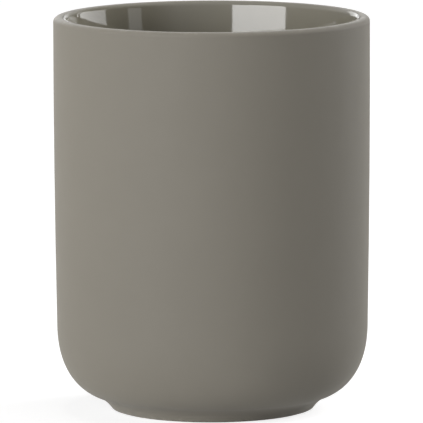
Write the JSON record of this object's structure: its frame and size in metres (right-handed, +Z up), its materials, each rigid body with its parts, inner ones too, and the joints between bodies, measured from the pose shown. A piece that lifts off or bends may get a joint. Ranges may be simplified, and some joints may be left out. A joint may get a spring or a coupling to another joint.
{
  "type": "toothbrush cup",
  "caption": "Free-standing round cup for toothbrushes, with a soft matte outside, a glossy glazed inside and a low foot ring.",
  "frame": {"origin": "centre of the circle that the cup stands on, on the table", "axes": "+Z up along the cup's axis; the cup is round, so +X and +Y are free"},
  "size_m": [0.083, 0.083, 0.1037],
  "materials": {
    "bare_ceramic": "matte",
    "matte_coat": "matte",
    "gloss_glaze": "gloss"
  },
  "bodies": {
    "root": {"ceramic_body": "bare_ceramic", "soft_touch_coat": "matte_coat", "inside_glaze": "gloss_glaze", "underside_glaze": "gloss_glaze"}
  },
  "joints": []
}
